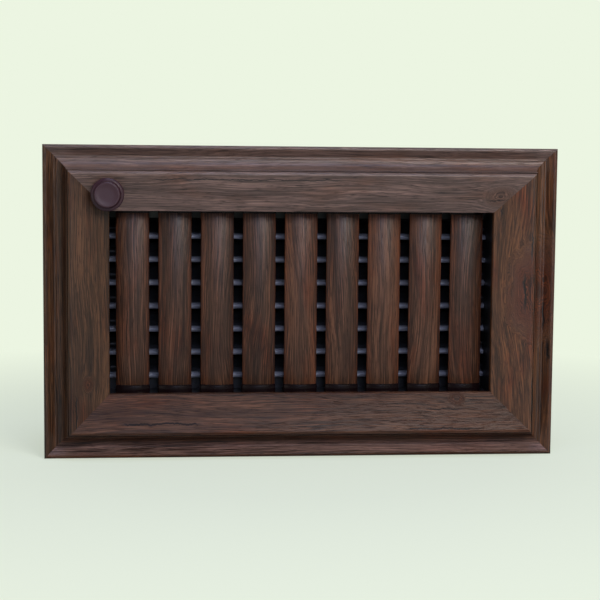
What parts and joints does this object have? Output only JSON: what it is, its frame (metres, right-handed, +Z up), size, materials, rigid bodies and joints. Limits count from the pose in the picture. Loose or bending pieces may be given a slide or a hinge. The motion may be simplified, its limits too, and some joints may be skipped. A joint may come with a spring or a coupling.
{
  "type": "wooden air vent",
  "caption": "Wood-framed wall air vent with a mitred moulding, upright wooden slats turned by hand, and ribbed damper blades behind, turned together by a knob.",
  "frame": {"origin": "middle of the frame on the wall surface, which is the plane of the frame's back", "axes": "+X to the right seen from the room, +Y into the wall, +Z up"},
  "size_m": [0.5, 0.1037, 0.303],
  "materials": {
    "frame_wood": "dark walnut-brown wood-grain, satin lacquer",
    "slat_wood": "dark walnut-brown wood-grain, satin lacquer",
    "cap_plastic": "dark maroon-brown, moulded, glossy",
    "black_plastic": "black, moulded, satin",
    "blade_plastic": "black, moulded with fine ribs, half gloss",
    "natural_plastic": "undyed acetal, milky",
    "knob_plastic": "maroon-brown, moulded, half gloss",
    "zinc_steel": "bright zinc plated",
    "screw_steel": "yellow zinc plated"
  },
  "bodies": {
    "frame": {"top_rail": "frame_wood", "bottom_rail": "frame_wood", "left_rail": "frame_wood", "right_rail": "frame_wood", "corner_plates": "zinc_steel", "corner_screws": "screw_steel", "top_wall": "black_plastic", "bottom_wall": "black_plastic", "left_wall": "black_plastic", "right_wall": "black_plastic", "neck_screws": "screw_steel", "knob_bush": "natural_plastic", "shaft_bracket": "zinc_steel", "rack_guides": "black_plastic", "drive_screws": "screw_steel"},
    "knob": {"knob": "knob_plastic", "knob_shaft": "zinc_steel", "knob_pinion": "natural_plastic"},
    "rack": {"rack_bar": "natural_plastic"},
    "louvre_1": {"blade_1": "blade_plastic", "blade_pinion_1": "natural_plastic"},
    "louvre_2": {"blade_2": "blade_plastic", "blade_pinion_2": "natural_plastic"},
    "louvre_3": {"blade_3": "blade_plastic", "blade_pinion_3": "natural_plastic"},
    "louvre_4": {"blade_4": "blade_plastic", "blade_pinion_4": "natural_plastic"},
    "louvre_5": {"blade_5": "blade_plastic", "blade_pinion_5": "natural_plastic"},
    "louvre_6": {"blade_6": "blade_plastic", "blade_pinion_6": "natural_plastic"},
    "louvre_7": {"blade_7": "blade_plastic", "blade_pinion_7": "natural_plastic"},
    "vane_1": {"slat_1": "slat_wood", "foot_cap_1": "cap_plastic", "head_cap_1": "cap_plastic"},
    "vane_2": {"slat_2": "slat_wood", "foot_cap_2": "cap_plastic", "head_cap_2": "cap_plastic"},
    "vane_3": {"slat_3": "slat_wood", "foot_cap_3": "cap_plastic", "head_cap_3": "cap_plastic"},
    "vane_4": {"slat_4": "slat_wood", "foot_cap_4": "cap_plastic", "head_cap_4": "cap_plastic"},
    "vane_5": {"slat_5": "slat_wood", "foot_cap_5": "cap_plastic", "head_cap_5": "cap_plastic"},
    "vane_6": {"slat_6": "slat_wood", "foot_cap_6": "cap_plastic", "head_cap_6": "cap_plastic"},
    "vane_7": {"slat_7": "slat_wood", "foot_cap_7": "cap_plastic", "head_cap_7": "cap_plastic"},
    "vane_8": {"slat_8": "slat_wood", "foot_cap_8": "cap_plastic", "head_cap_8": "cap_plastic"},
    "vane_9": {"slat_9": "slat_wood", "foot_cap_9": "cap_plastic", "head_cap_9": "cap_plastic"}
  },
  "joints": [
    {"name": "knob_turn", "type": "hinge", "parent": "frame", "child": "knob", "pos_m": [-0.188, 0, 0.10453], "axis": [0, 1, 0], "range_deg": [-37, 46]},
    {"name": "rack_slide", "type": "slide", "parent": "frame", "child": "rack", "axis": [0, 0, 1], "range_m": [-0.00398, 0.00497]},
    {"name": "louvre_1_turn", "type": "hinge", "parent": "frame", "child": "louvre_1", "pos_m": [0, 0.046, 0.0696], "axis": [1, 0, 0], "range_deg": [-46, 37]},
    {"name": "louvre_2_turn", "type": "hinge", "parent": "frame", "child": "louvre_2", "pos_m": [0, 0.046, 0.0464], "axis": [1, 0, 0], "range_deg": [-46, 37]},
    {"name": "louvre_3_turn", "type": "hinge", "parent": "frame", "child": "louvre_3", "pos_m": [0, 0.046, 0.0232], "axis": [1, 0, 0], "range_deg": [-46, 37]},
    {"name": "louvre_4_turn", "type": "hinge", "parent": "frame", "child": "louvre_4", "pos_m": [0, 0.046, 0], "axis": [1, 0, 0], "range_deg": [-46, 37]},
    {"name": "louvre_5_turn", "type": "hinge", "parent": "frame", "child": "louvre_5", "pos_m": [0, 0.046, -0.0232], "axis": [1, 0, 0], "range_deg": [-46, 37]},
    {"name": "louvre_6_turn", "type": "hinge", "parent": "frame", "child": "louvre_6", "pos_m": [0, 0.046, -0.0464], "axis": [1, 0, 0], "range_deg": [-46, 37]},
    {"name": "louvre_7_turn", "type": "hinge", "parent": "frame", "child": "louvre_7", "pos_m": [0, 0.046, -0.0696], "axis": [1, 0, 0], "range_deg": [-46, 37]},
    {"name": "vane_1_turn", "type": "hinge", "parent": "frame", "child": "vane_1", "pos_m": [-0.1652, 0.015, 0], "axis": [0, 0, 1], "range_deg": [-85, 85]},
    {"name": "vane_2_turn", "type": "hinge", "parent": "frame", "child": "vane_2", "pos_m": [-0.1239, 0.015, 0], "axis": [0, 0, 1], "range_deg": [-85, 85]},
    {"name": "vane_3_turn", "type": "hinge", "parent": "frame", "child": "vane_3", "pos_m": [-0.0826, 0.015, 0], "axis": [0, 0, 1], "range_deg": [-85, 85]},
    {"name": "vane_4_turn", "type": "hinge", "parent": "frame", "child": "vane_4", "pos_m": [-0.0413, 0.015, 0], "axis": [0, 0, 1], "range_deg": [-85, 85]},
    {"name": "vane_5_turn", "type": "hinge", "parent": "frame", "child": "vane_5", "pos_m": [0, 0.015, 0], "axis": [0, 0, 1], "range_deg": [-85, 85]},
    {"name": "vane_6_turn", "type": "hinge", "parent": "frame", "child": "vane_6", "pos_m": [0.0413, 0.015, 0], "axis": [0, 0, 1], "range_deg": [-85, 85]},
    {"name": "vane_7_turn", "type": "hinge", "parent": "frame", "child": "vane_7", "pos_m": [0.0826, 0.015, 0], "axis": [0, 0, 1], "range_deg": [-85, 85]},
    {"name": "vane_8_turn", "type": "hinge", "parent": "frame", "child": "vane_8", "pos_m": [0.1239, 0.015, 0], "axis": [0, 0, 1], "range_deg": [-85, 85]},
    {"name": "vane_9_turn", "type": "hinge", "parent": "frame", "child": "vane_9", "pos_m": [0.1652, 0.015, 0], "axis": [0, 0, 1], "range_deg": [-85, 85]}
  ],
  "couplings": [
    {"joint": "knob_turn", "follows": "rack_slide", "rad_per_m": 157.98},
    {"joint": "louvre_1_turn", "follows": "rack_slide", "rad_per_m": -157.98},
    {"joint": "louvre_2_turn", "follows": "rack_slide", "rad_per_m": -157.98},
    {"joint": "louvre_3_turn", "follows": "rack_slide", "rad_per_m": -157.98},
    {"joint": "louvre_4_turn", "follows": "rack_slide", "rad_per_m": -157.98},
    {"joint": "louvre_5_turn", "follows": "rack_slide", "rad_per_m": -157.98},
    {"joint": "louvre_6_turn", "follows": "rack_slide", "rad_per_m": -157.98},
    {"joint": "louvre_7_turn", "follows": "rack_slide", "rad_per_m": -157.98}
  ]
}
